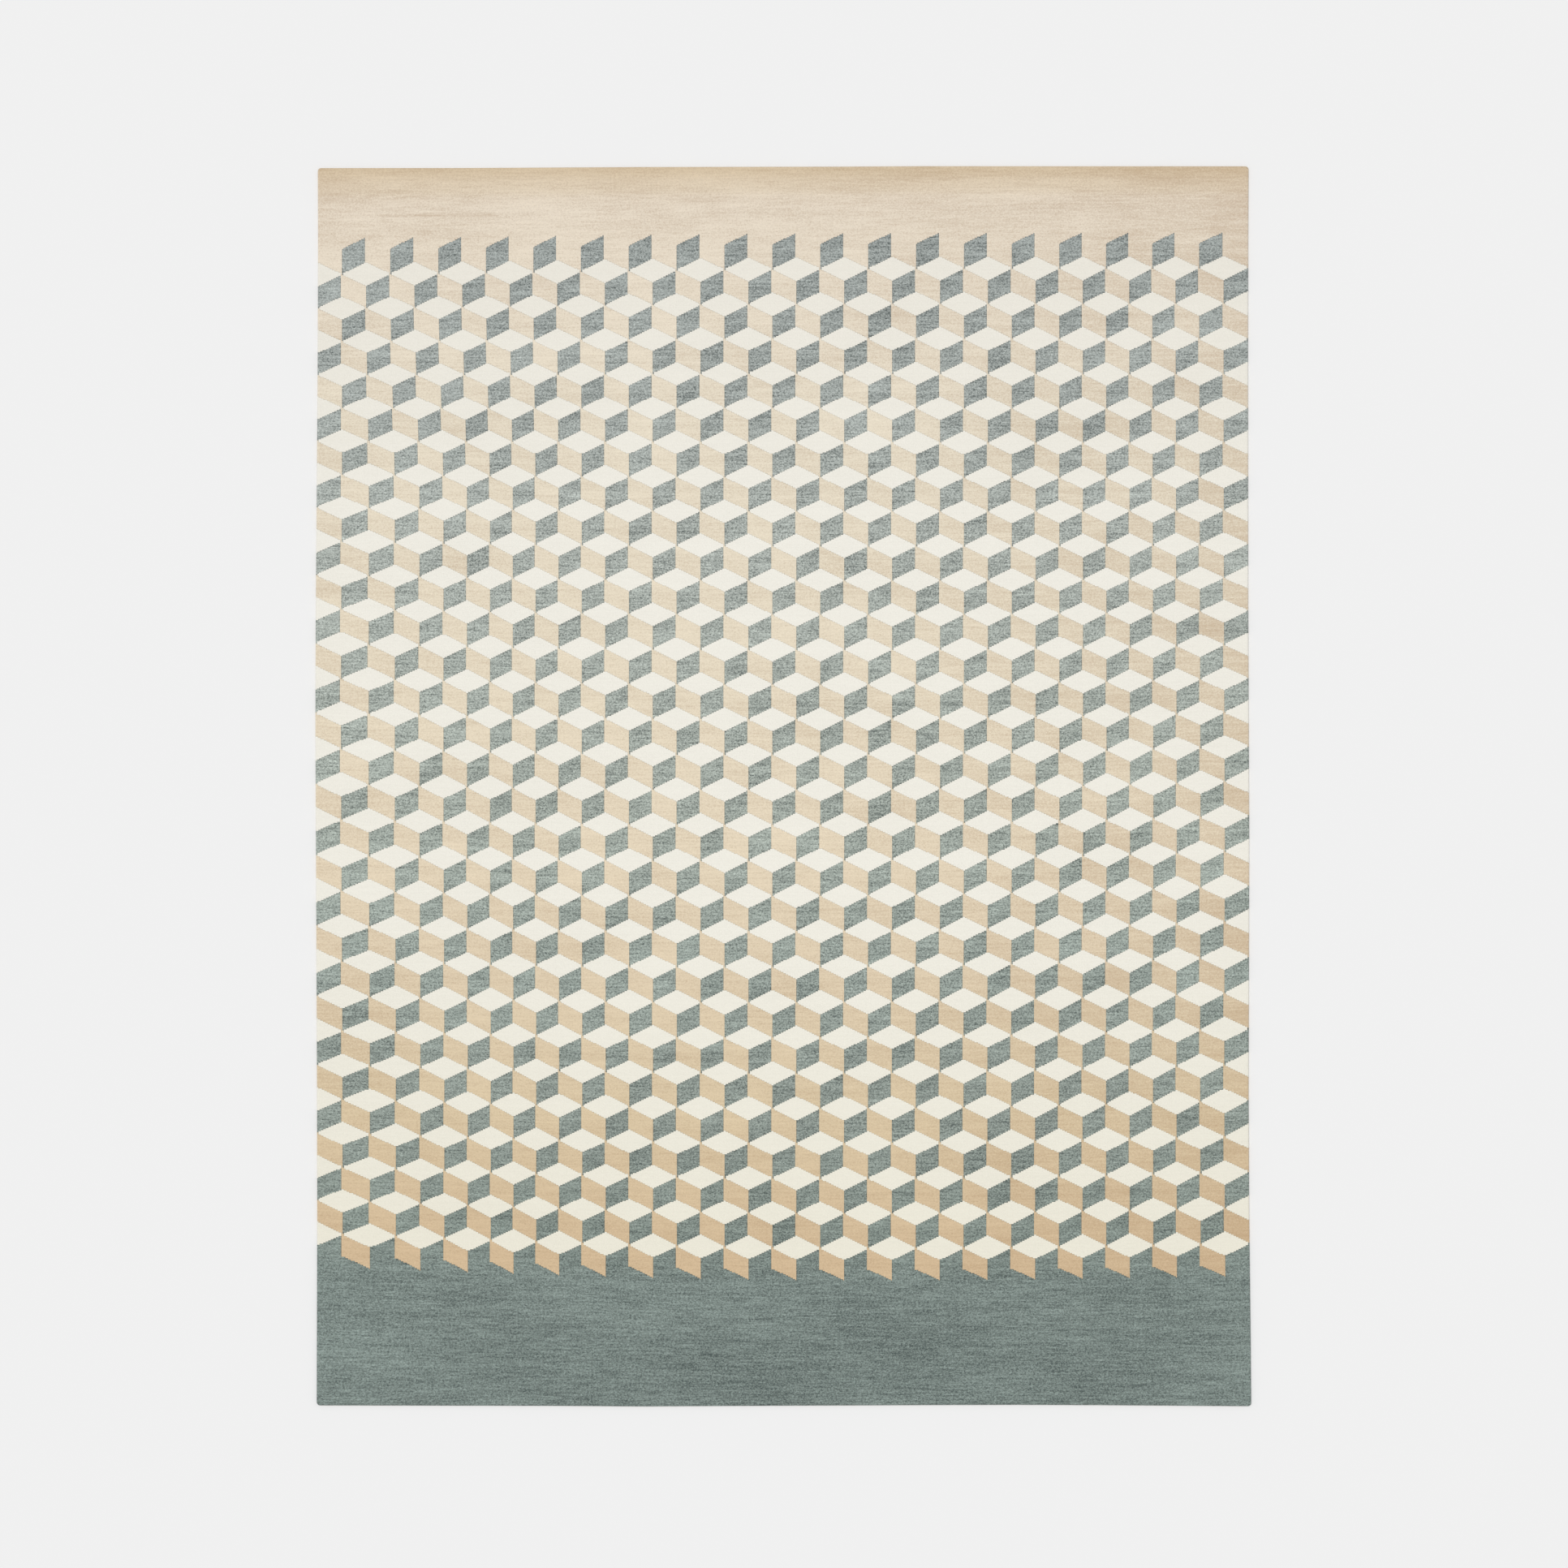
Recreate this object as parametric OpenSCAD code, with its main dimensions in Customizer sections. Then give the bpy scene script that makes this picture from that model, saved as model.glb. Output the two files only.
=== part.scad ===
// Area rug with a tumbling-blocks field between a tan end band and a blue-grey end band.
// Hand-knotted: wool and silky pile on a cotton foundation, overcast sides, turned and taped ends.
// The origin is the middle of the underside, +Y points to the tan end and +Z is up.

/* [Rug] */
// Width from side to side
rug_w = 2750; // [1200:10:4000]
// Length from end to end
rug_l = 3650; // [1600:10:5000]

/* [Pattern] */
// Width of one block, which is also its ivory lozenge's long diagonal
block_w = 141.02; // [90:0.01:220]
// Height of the ivory lozenge, its short diagonal
lozenge_h = 68; // [40:0.5:100]
// Height of a block's upright edges
side_h = 68.7; // [40:0.1:110]
// From the tan end to the centre line of the first row of blocks
tan_band_l = 300; // [180:5:500]
// Shortest length from the last row's centre line to the blue-grey end
blue_band_l = 470; // [180:5:700]
// Width of the groove sheared into the pile where two colours meet
carve_w = 1; // [0.4:0.1:2]
// Height of the yarn that bridges two lozenge tips in a row
bridge_h = 0.7; // [0.5:0.05:1]

/* [Thickness] */
// Depth of the knot collars under the warps
back_h = 1.6; // [1.3:0.1:3]
// Warp thread diameter
warp_d = 1.2; // [0.8:0.1:2]
// Weft thread diameter
weft_d = 1; // [0.6:0.1:2]
// Height of the pile above the foundation
pile_h = 6.2; // [3:0.1:15]

/* [Foundation] */
// Width of one knot, with its pair of warps
knot_w = 3.53; // [2:0.01:6]
// Height of one knot row, with its wefts
knot_row_h = 3.5; // [2:0.01:6]
// Knots in each direction for every thread that is drawn
knots_per_thread = 4; // [3:1:12]

/* [Sides] */
// Width of the overcast edge under the pile
selvedge_w = 6; // [5:0.1:10]
// Diameter of each of the two edge cords
edge_cord_d = 1.9; // [1.2:0.1:2]
// Space between the two edge cords
edge_cord_gap = 0.2; // [0.1:0.1:0.4]

/* [Ends] */
// Thickness of the flat-woven end
kilim_t = 0.7; // [0.4:0.1:1]
// How far the flat-woven end is turned under
kilim_turn = 32; // [20:1:60]
// Diameter of the twined cord that locks the last knot row
lock_cord_d = 1.8; // [1:0.1:2]
// Thickness of the hem tape
tape_t = 0.6; // [0.3:0.1:0.6]
// Width of the hem tape
tape_w = 36; // [20:1:60]
// From the rug's end to the tape's outer edge
tape_inset = 4; // [2:1:10]
// Distance between hem stitches
stitch_gap = 20; // [8:1:40]
// Length of one hem stitch
stitch_l = 6; // [3:0.5:8]
// Diameter of the sewing thread
stitch_d = 0.3; // [0.2:0.05:0.3]
// Space left between neighbouring soft parts
clearance = 1; // [0.3:0.1:2]

/* [Hidden] */

ivory = "#ebe8de";
tan = "#dfd2bf";
blue_grey = "#8f9a95";
cotton = "#e6e0d2";
tape_cotton = "#d8cdb8";

// The rug's box
left_x = -rug_w / 2;
right_x = rug_w / 2;
tan_end_y = rug_l / 2;
blue_end_y = -rug_l / 2;

// Layers, from the underside up
warp_z = back_h + warp_d / 2;
weft_z = back_h + warp_d + weft_d / 2;
pile_z = back_h + warp_d + weft_d;
tape_z = stitch_d;
kilim_z = back_h - kilim_t;

// The foundation lies between the overcast sides and the locked ends
foundation_x = rug_w / 2 - selvedge_w;
lock_y = rug_l / 2 - kilim_t - lock_cord_d / 2;
foundation_y = lock_y - lock_cord_d / 2;
tape_in_y = rug_l / 2 - tape_inset - tape_w;
backs_y = min(tape_in_y, rug_l / 2 - kilim_turn) - stitch_l / 2 - clearance;

// Blocks: half sizes, the step between rows, and how far the groove cuts into each face
half_w = block_w / 2;
half_h = lozenge_h / 2;
row_step = side_h + half_h;
slope = half_h / half_w;
cut_x = carve_w / 2;
cut_y = cut_x * sqrt(1 + slope * slope);
rows = floor((rug_l - tan_band_l - blue_band_l) / row_step) + 1;
blocks = ceil(rug_w / block_w);
first_y = tan_end_y - tan_band_l;
last_y = first_y - (rows - 1) * row_step;
same_point = 0.001;
round_fn = 24;

function row_y(row) = first_y - row * row_step;

// Odd rows are shifted by half a block
function phase(row) = abs(row) % 2;
function block_x(row, block) = left_x + (block + phase(row) / 2) * block_w;

// Outline cut at an upright line: keep is 1 for what lies left of it and -1 for what lies right
function cut_at(points, x, keep) = [
    for (i = [0 : len(points) - 1])
        let (
            a = points[i],
            b = points[(i + 1) % len(points)],
            to_a = x - a[0],
            to_b = x - b[0],
            crosses = to_a * to_b < 0 && min(abs(to_a), abs(to_b)) > same_point
        )
        each concat(
            keep * to_a >= -same_point ? [a] : [],
            crosses ? [a + (b - a) * to_a / (to_a - to_b)] : []
        )
];
function cut_to_rug(points) = cut_at(cut_at(points, left_x, -1), right_x, 1);

function width_of(points) = len(points) < 3 ? 0 : max([for (p = points) p[0]]) - min([for (p = points) p[0]]);

// Upright-sided face of a block between x and x + half_w: its upper edge starts at y on the left
// and rises (1) or falls (-1) to the right
function face(x, y, rise) = [
    for (corner = [[0, 0], [1, 0], [1, 1], [0, 1]])
        let (
            along = corner[0] == 0 ? cut_x : half_w - cut_x,
            down = corner[1] == 0 ? cut_y : side_h - cut_y
        )
        [x + along, y + rise * slope * along - down]
];
function tan_face(row, block) = face(block_x(row, block) - half_w, row_y(row), -1);
function blue_face(row, block) = face(block_x(row, block), row_y(row) - half_h, 1);

// One side of a row of lozenges from left to right: side is 1 for the upper edge, -1 for the lower
tip_h = half_h - cut_y;
tip_w = tip_h / slope;
bridge_x = tip_w - bridge_h / 2 / slope;
function lozenge_edge(row, side) = [
    for (block = [0 : blocks])
        let (x = block_x(row, block), y = row_y(row))
        each [
            [x - bridge_x, y + side * bridge_h / 2],
            [x, y + side * tip_h],
            [x + bridge_x, y + side * bridge_h / 2]
        ]
];
function reversed(points) = [for (i = [len(points) - 1 : -1 : 0]) points[i]];
function lozenge_row(row) = concat(lozenge_edge(row, 1), reversed(lozenge_edge(row, -1)));

// Toothed edge where a band meets the outer row of blocks, away from the row on that side
function tooth(x, y, side) = [
    for (p = [
        [-half_w - cut_x, slope * cut_x],
        [-half_w - cut_x, side_h - slope * cut_x],
        [cut_x, side_h + half_h + slope * cut_x],
        [cut_x, half_h - slope * cut_x]
    ])
        [x + p[0], y + side * (p[1] + cut_y)]
];
function band_edge(row, side) = concat(
    phase(row) == 0 ? [[left_x, row_y(row) + side * (half_h + cut_y)]] : [],
    [for (block = [1 - phase(row) : blocks + 1]) each tooth(block_x(row, block), row_y(row), side)]
);
function band(row, side, end_y) = concat(
    band_edge(row, side),
    [[block_x(row, blocks + 1) + half_w, end_y], [left_x, end_y]]
);

// Pile solids
module pile(points) {
    kept = cut_to_rug(points);
    if (width_of(kept) > knot_w)
        translate([0, 0, pile_z])
            linear_extrude(height = pile_h)
                polygon(kept);
}

module ivory_pile() {
    color(ivory)
        for (row = [0 : rows - 1])
            pile(lozenge_row(row));
}

module tan_face_pile() {
    color(tan)
        for (row = [0 : rows - 1], block = [0 : blocks])
            pile(tan_face(row, block));
}

module blue_face_pile() {
    color(blue_grey)
        for (row = [-1 : rows - 2], block = [0 : blocks])
            pile(blue_face(row, block));
}

module tan_band_pile() {
    color(tan) pile(band(0, 1, tan_end_y));
}

module blue_band_pile() {
    color(blue_grey) pile(band(rows - 1, -1, blue_end_y));
}

// Knot collars round the warps, seen on the underside
module knot_backs() {
    color(tan)
        translate([-foundation_x, -backs_y, 0])
            cube([2 * foundation_x, 2 * backs_y, back_h]);
}

module thread(length, d) {
    cylinder(h = length, d = d, center = true, $fn = round_fn);
}

// Threads across a span of 2 * half, spaced evenly and centred on it
function thread_places(half, step) = let (count = floor((2 * half - step) / step))
    [for (i = [0 : count]) (i - count / 2) * step];

module warp_threads() {
    color(cotton)
        for (x = thread_places(foundation_x, knot_w * knots_per_thread))
            translate([x, 0, warp_z])
                rotate([90, 0, 0])
                    thread(2 * foundation_y, warp_d);
}

module weft_threads() {
    color(cotton)
        for (y = thread_places(foundation_y, knot_row_h * knots_per_thread))
            translate([0, y, weft_z])
                rotate([0, 90, 0])
                    thread(2 * foundation_x, weft_d);
}

// Sides: two cords inside an overcast sleeve; side is -1 on the left and 1 on the right
selvedge_r = pile_z / 2;
edge_x = rug_w / 2 - selvedge_w / 2;
cord_span = edge_cord_d + edge_cord_gap;

module edge_cords(side) {
    color(cotton)
        for (offset_x = [-cord_span / 2, cord_span / 2])
            translate([side * edge_x + offset_x, 0, selvedge_r])
                rotate([90, 0, 0])
                    thread(rug_l - 2 * clearance, edge_cord_d);
}

// Flat bar with round ends; span is the distance between the centres of the ends
module round_bar(span, r) {
    for (end_x = [-span / 2, span / 2])
        translate([end_x, 0])
            circle(r = r, $fn = round_fn);
    square([span, 2 * r], center = true);
}

module sleeve_outline() {
    difference() {
        round_bar(selvedge_w - 2 * selvedge_r, selvedge_r);
        round_bar(cord_span, edge_cord_d / 2);
    }
}

module overcast(side, from_y, to_y) {
    translate([side * edge_x, to_y, selvedge_r])
        rotate([90, 0, 0])
            linear_extrude(height = to_y - from_y)
                sleeve_outline();
}

// The overcast yarn changes colour at the last row of blocks
module left_edge_cords() { edge_cords(-1); }
module right_edge_cords() { edge_cords(1); }
module left_tan_overcast() { color(tan) overcast(-1, last_y, tan_end_y); }
module right_tan_overcast() { color(tan) overcast(1, last_y, tan_end_y); }
module left_blue_overcast() { color(blue_grey) overcast(-1, blue_end_y, last_y); }
module right_blue_overcast() { color(blue_grey) overcast(1, blue_end_y, last_y); }

// Ends are drawn at the tan end and turned half round for the blue-grey end
module kilim() {
    color(cotton)
        translate([foundation_x, 0, 0])
            rotate([90, 0, -90])
                linear_extrude(height = 2 * foundation_x)
                    polygon([
                        [-rug_l / 2, kilim_z],
                        [-rug_l / 2, pile_z],
                        [-rug_l / 2 + kilim_t, pile_z],
                        [-rug_l / 2 + kilim_t, back_h],
                        [-rug_l / 2 + kilim_turn, back_h],
                        [-rug_l / 2 + kilim_turn, kilim_z]
                    ]);
}

module lock_cord() {
    color(cotton)
        translate([0, lock_y, back_h + lock_cord_d / 2])
            rotate([0, 90, 0])
                thread(2 * foundation_x, lock_cord_d);
}

module tape() {
    color(tape_cotton)
        translate([-foundation_x, tape_in_y, tape_z])
            cube([2 * foundation_x, tape_w, tape_t]);
}

module stitches() {
    color(tape_cotton)
        for (x = thread_places(foundation_x, stitch_gap))
            translate([x, tape_in_y, stitch_d / 2])
                rotate([90, 0, 0])
                    thread(stitch_l, stitch_d);
}

module at_blue_end() { rotate([0, 0, 180]) children(); }

module tan_end_kilim() { kilim(); }
module blue_end_kilim() { at_blue_end() kilim(); }
module tan_end_lock_cord() { lock_cord(); }
module blue_end_lock_cord() { at_blue_end() lock_cord(); }
module tan_end_tape() { tape(); }
module blue_end_tape() { at_blue_end() tape(); }
module tan_end_stitches() { stitches(); }
module blue_end_stitches() { at_blue_end() stitches(); }

ivory_pile();
tan_face_pile();
blue_face_pile();
tan_band_pile();
blue_band_pile();
knot_backs();
warp_threads();
weft_threads();
left_edge_cords();
right_edge_cords();
left_tan_overcast();
right_tan_overcast();
left_blue_overcast();
right_blue_overcast();
tan_end_kilim();
blue_end_kilim();
tan_end_lock_cord();
blue_end_lock_cord();
tan_end_tape();
blue_end_tape();
tan_end_stitches();
blue_end_stitches();
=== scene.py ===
import math

import bpy
import numpy as np
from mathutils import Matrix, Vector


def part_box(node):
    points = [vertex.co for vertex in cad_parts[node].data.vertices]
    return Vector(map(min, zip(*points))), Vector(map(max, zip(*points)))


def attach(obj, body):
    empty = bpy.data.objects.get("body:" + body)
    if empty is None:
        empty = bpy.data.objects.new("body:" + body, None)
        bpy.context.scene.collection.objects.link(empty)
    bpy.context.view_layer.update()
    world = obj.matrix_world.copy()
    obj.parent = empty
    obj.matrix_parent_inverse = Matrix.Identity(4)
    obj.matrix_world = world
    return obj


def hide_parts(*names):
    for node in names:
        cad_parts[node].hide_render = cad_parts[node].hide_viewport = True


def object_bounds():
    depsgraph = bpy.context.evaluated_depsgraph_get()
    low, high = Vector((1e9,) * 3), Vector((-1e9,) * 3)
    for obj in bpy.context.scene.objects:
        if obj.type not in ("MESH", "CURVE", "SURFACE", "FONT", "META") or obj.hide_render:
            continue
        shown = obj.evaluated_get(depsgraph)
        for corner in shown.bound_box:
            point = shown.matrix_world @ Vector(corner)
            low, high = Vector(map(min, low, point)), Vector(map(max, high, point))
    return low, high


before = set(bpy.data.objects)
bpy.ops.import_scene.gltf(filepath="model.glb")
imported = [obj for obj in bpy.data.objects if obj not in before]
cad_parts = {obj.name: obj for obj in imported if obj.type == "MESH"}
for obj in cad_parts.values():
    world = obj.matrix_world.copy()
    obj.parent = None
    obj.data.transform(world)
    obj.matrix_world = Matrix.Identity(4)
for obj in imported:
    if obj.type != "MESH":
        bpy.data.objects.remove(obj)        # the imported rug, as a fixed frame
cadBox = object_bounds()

# Driving sizes, in metres
rugLow, rugHigh = cadBox
rugWidth = rugHigh.x - rugLow.x
rugLength = rugHigh.y - rugLow.y
millimetre = 0.001

blocks = {
    "width": 0.14102,        # one block, which is also its lozenge's long diagonal
    "lozenge": 0.068,        # the lozenge's short diagonal
    "side": 0.0687,          # a block's upright edges
    "tanBand": 0.300,        # from the tan end to the first row's centre line
    "rows": 29,
    "tipCut": 0.05,          # share of a lozenge's half width that tan takes at each tip
    "ivoryReach": 0.0019,    # the thick ivory pile reaches this far over its neighbours, up and down
    "tanLean": 0.0035,       # the silky tan pile leans this far over the blue-grey on its left
    "firstRise": 0.0035,     # the first blue-grey faces rise this much further into the tan end
    "lastRise": 0.0060,      # the last tan faces end this much sooner at the blue-grey end
}
rowStep = blocks["side"] + blocks["lozenge"] / 2
firstY = rugHigh.y - blocks["tanBand"]
lastY = firstY - (blocks["rows"] - 1) * rowStep

knots = {"width": 0.003526, "height": 0.0035, "seed": 7}
columns = round(rugWidth / knots["width"])
lines = round(rugLength / knots["height"])
knotW = rugWidth / columns
knotH = rugLength / lines


# How the hand weave wanders from a perfect grid

weave = {
    # lines that the sides and ends follow: place along them in metres, and shift in millimetres
    "leftSide": [(-1.83, 0.4), (-1.3, 1.9), (-0.9, 1.2), (-0.2, -1.8), (0.15, -3.6), (0.5, -2.4),
                 (0.9, 0.8), (1.26, 3.3), (1.62, 4.3), (1.83, 3.6)],
    "rightSide": [(-1.83, 4.6), (-1.64, 2.9), (-1.28, -1.3), (-0.91, -3.3), (-0.55, -2.2),
                  (-0.19, -1.3), (0.17, -2.9), (0.53, -4.4), (1.26, -5.0), (1.62, -4.3), (1.83, -3.2)],
    "tanEnd": [(-1.38, -2.3), (-0.95, -2.1), (-0.41, 0.9), (0.14, 1.9), (0.41, 3.3), (1.38, 2.9)],
    "blueEnd": [(-1.38, 0.5), (-0.68, -0.7), (-0.41, -2.6), (-0.14, -0.9), (0.41, 1.4), (0.68, 2.2),
                (0.95, 1.2), (1.38, -1.8)],
    "sideShare": 0.07,       # share of the width in which the side's own line takes over
    "corner": 0.009,         # radius of the rug's corners
    # how far the field's rows and columns drift, in millimetres
    "rise": 3.7,             # all rows, towards the tan end
    "riseFade": -4.6,        # and how much less at the blue-grey end
    "beat": 6.6,             # rows beaten down tighter and looser along the length
    "beatLength": 0.9,       # length of one such wave, as a share of the field
    "bow": 83.6,             # rows that curve up towards both sides
    "tiltWave": (5.0, 21.3),     # rows that tilt one way and then the other
    "tilt": (25.8, -50.4),       # steady tilt at the tan end, and its change along the field
    "dip": (3.0, -6.5),      # middle of the rows against their quarters, and its change
    "shift": 3.8,            # all columns, to the right
    "spread": (4.4, -7.0),   # columns drawn apart, and together again in the blue-grey half
    "leftBulge": (4.0, 15.3),    # columns left of the middle, and how much more past the tan end
    "rightBulge": (-14.3, 8.4),  # columns near the right side, and its change along the field
}


def smooth(low, high, value):
    t = np.clip((value - low) / (high - low), 0, 1)
    return t * t * (3 - 2 * t)


def bell(value, centre, spread):
    return np.exp(-((value - centre) / spread) ** 2)


def roundCorners(x, y):
    r = weave["corner"]
    p = (np.abs(x) - rugHigh.x) / r + 1
    q = (np.abs(y) - rugHigh.y) / r + 1
    inCorner = (p > 0) & (q > 0)
    intoX = np.maximum(p, 1e-6)
    intoY = np.maximum(q, 1e-6)
    pull = np.where(inCorner, 1 - np.maximum(intoX, intoY) / np.hypot(intoX, intoY), 0)
    return x - np.sign(x) * pull * intoX * r, y - np.sign(y) * pull * intoY * r


def wander(x, y):
    # moves points of the perfect grid to where the weaver's hand left them
    u = x / rugWidth + 0.5
    v = np.clip((firstY - y) / (firstY - lastY), 0, 1)
    w = u - 0.5
    turn = 2 * math.pi * v
    waveCos, waveSin = weave["tiltWave"]
    tilt, tiltChange = weave["tilt"]
    dip, dipChange = weave["dip"]
    up = (weave["rise"] + weave["riseFade"] * v - weave["beat"] * np.cos(turn / weave["beatLength"])
          + weave["bow"] * w * w * smooth(0, 0.5, v)
          - waveCos * w * np.cos(turn) - waveSin * w * np.sin(turn) + tiltChange * w * v + tilt * w
          - (dip + dipChange * v) * np.cos(2 * math.pi * u))
    inField = smooth(0, 1, (rugHigh.y - y) / blocks["tanBand"])
    inField = inField * smooth(0, 1, (y - rugLow.y) / (lastY - rugLow.y))
    end = np.where(y > 0, np.interp(x, *zip(*weave["tanEnd"])), np.interp(x, *zip(*weave["blueEnd"])))
    spread, spreadChange = weave["spread"]
    left, leftMore = weave["leftBulge"]
    right, rightChange = weave["rightBulge"]
    across = (weave["shift"] + spread * w + spreadChange * w * smooth(0.55, 0.8, v)
              + (leftMore * smooth(0, 0.25, v) + left) * bell(u, 0.12, 0.12)
              + (rightChange * v + right) * bell(u, 0.97, 0.12))
    share = weave["sideShare"]
    inside = smooth(0, share, u) * smooth(0, share, 1 - u)
    leftLine = np.interp(y, *zip(*weave["leftSide"]))
    rightLine = np.interp(y, *zip(*weave["rightSide"]))
    across = across * inside + np.where(u < 0.5, leftLine, rightLine) * (1 - inside)
    roundX, roundY = roundCorners(x, y)
    return roundX + across * millimetre, roundY + (up * inField + end * (1 - inField)) * millimetre


def wandered(points):
    # an array of points, moved with the weave
    moved = np.array(points, float)
    moved[..., 0], moved[..., 1] = wander(moved[..., 0], moved[..., 1])
    return moved


# Meshes

def knotPlace(x, y):
    # where a point lies, counted in knots from the left side and from the tan end
    return (x - rugLow.x) / knotW, (rugHigh.y - y) / knotH


def newPiece(name, points, quads, polygons, maps, smoothQuads=True):
    # maps gives each face corner's place on a map, in the order of the quads and then the polygons
    mesh = bpy.data.meshes.new(name)
    corners = np.concatenate([quads.ravel(), *[np.asarray(p) for p in polygons]]).astype(np.int32)
    sizes = [len(p) for p in polygons]
    starts = np.concatenate([np.arange(len(quads)) * 4, len(quads) * 4 + np.cumsum([0] + sizes)[:-1]])
    mesh.vertices.add(len(points))
    mesh.vertices.foreach_set("co", np.asarray(points, np.float32).ravel())
    mesh.loops.add(len(corners))
    mesh.loops.foreach_set("vertex_index", corners)
    mesh.polygons.add(len(starts))
    mesh.polygons.foreach_set("loop_start", starts.astype(np.int32))
    isSmooth = np.zeros(len(starts), bool)
    isSmooth[:len(quads)] = smoothQuads
    mesh.polygons.foreach_set("use_smooth", isSmooth)
    for mapName, places in maps.items():
        layer = mesh.uv_layers.new(name=mapName)
        layer.uv.foreach_set("vector", np.asarray(places, np.float32).ravel())
    mesh.update(calc_edges=True)
    piece = bpy.data.objects.new(name, mesh)
    bpy.context.scene.collection.objects.link(piece)
    return piece


bakeStrip = {"start": 0.01, "length": 0.97, "gap": 0.05, "cap": (0.99, 0.985), "capRadius": 0.004}


def sweptPiece(name, tubes, segmentLength, girth):
    # tubes is an array of closed rings: tube, ring along it, point round it, x y z
    tubes = np.asarray(tubes, float)
    count, rings, sides = tubes.shape[:3]
    index = np.arange(count * rings * sides).reshape(count, rings, sides)
    onward = np.roll(index, -1, axis=2)
    quads = np.stack([index[:, :-1], onward[:, :-1], onward[:, 1:], index[:, 1:]], axis=-1)
    caps = [list(index[t, 0, ::-1]) for t in range(count)] + [list(index[t, -1]) for t in range(count)]
    flat = tubes.reshape(-1, 3)
    corners = np.concatenate([quads.ravel(), np.ravel(caps)])
    knotMap = np.stack(knotPlace(flat[corners, 0], flat[corners, 1]), axis=-1)
    # the bake map lays the length out in strips, one above the other
    segments = count * (rings - 1)
    strips = max(1, round(math.sqrt(segments * segmentLength / girth)))
    perStrip = math.ceil(segments / strips)
    step = np.arange(segments).reshape(count, rings - 1, 1, 1)
    along = step % perStrip + np.array([0, 0, 1, 1])
    around = np.arange(sides).reshape(1, 1, sides, 1) + np.array([0, 1, 1, 0])
    u = bakeStrip["start"] + bakeStrip["length"] * along / perStrip + 0 * around
    v = step // perStrip + bakeStrip["gap"] + (1 - 2 * bakeStrip["gap"]) * around / sides
    v = v / strips * bakeStrip["length"] + 0 * along
    capTurn = np.linspace(0, 2 * math.pi, sides, endpoint=False)
    capU = bakeStrip["cap"][0] + bakeStrip["capRadius"] * np.cos(capTurn)
    capV = bakeStrip["cap"][1] + bakeStrip["capRadius"] * np.sin(capTurn)
    capMap = np.tile(np.stack([capU, capV], axis=-1), (2 * count, 1))
    bakeMap = np.concatenate([np.stack([u.ravel(), v.ravel()], axis=-1), capMap])
    return newPiece(name, wandered(flat), quads.reshape(-1, 4), caps, {"knots": knotMap, "OFBake": bakeMap})


# Which yarn each knot is tied with

ivory, tan, blue = 0, 1, 2


def yarnOfKnots():
    column = np.arange(columns) + 0.5
    line = (np.arange(lines) + 0.5)[:, None]
    steps = (line * knotH - blocks["tanBand"]) / rowStep
    row = np.floor(steps)
    below = (steps - row) * rowStep / (blocks["lozenge"] / 2)
    above = (1 + row - steps) * rowStep / (blocks["lozenge"] / 2)
    aside = (column * knotW / blocks["width"] - row % 2 / 2 + 0.5) % 1 - 0.5
    far = 2 * np.abs(aside)
    tip = 1 - blocks["tipCut"]
    reach = 1 + blocks["ivoryReach"] / (blocks["lozenge"] / 2)
    inUpper = (far + below < reach) & (far < tip)
    inLower = (1 - far + above < reach) & (1 - far < tip)
    last = blocks["rows"] - 1
    leansOver = (aside > 0.5 - blocks["tanLean"] / blocks["width"]) & (column < columns - 1)
    yarn = np.where((aside < 0) | leansOver, tan, blue)
    aboveFirst = far + below < 1 - blocks["firstRise"] / (blocks["lozenge"] / 2)
    yarn = np.where((row == -1) & aboveFirst, tan, yarn)
    belowLast = 1 - far + above < 1 + blocks["lastRise"] / (blocks["lozenge"] / 2)
    yarn = np.where((row == last) & belowLast, blue, yarn)
    yarn = np.where(row < -1, tan, np.where(row > last, blue, yarn))
    isIvory = (inUpper & (row >= 0) & (row <= last)) | (inLower & (row >= -1) & (row < last))
    rowOfKnot = np.where(isIvory & inLower, row + 1, row)
    return np.where(isIvory, ivory, yarn), rowOfKnot


pile = {
    "top": 9.35,             # mean height of the sheared surface above the floor
    "foot": 3.84,            # where the pile stands on the foundation
    "swell": 0.16,           # slow rise and fall of the shearing
    "lineNoise": 0.07,       # each line of knots stands a little higher or lower
    "knotNoise": 0.10,       # and so does each knot
    "grooveInset": 0.30,     # half the width of the groove between two colours
    "shoulder": 0.18,        # how far the pile rolls off beside a groove
    "grooveDepth": 1.20,
    "rimInset": 0.9,         # the roll-off at the rug's own edge
    "rimShoulder": 0.75,
    "rimFlare": 0.7,         # how far the pile leans out over the overcast side
    "rimFlareHeight": 6.4,
    "rimFootInset": 1.4,
    "wallInset": 0.02,       # keeps two colours' walls from touching
    "rowsPerPiece": 6,
}


def pileHeights():
    # one height for each corner between four knots
    rng = np.random.default_rng(knots["seed"])
    x = np.linspace(rugLow.x, rugHigh.x, columns + 1)
    y = np.linspace(rugHigh.y, rugLow.y, lines + 1)[:, None]
    slow = np.sin(5.1 * x + 1.3 * y) * np.cos(3.7 * y - 0.8 * x)
    slow = slow + 0.5 * np.sin(11.3 * y + 2.0 * np.sin(2.3 * x))
    heights = pile["top"] + pile["swell"] * slow
    heights = heights + pile["lineNoise"] * rng.standard_normal((lines + 1, 1))
    return heights + pile["knotNoise"] * rng.standard_normal((lines + 1, columns + 1))


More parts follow.
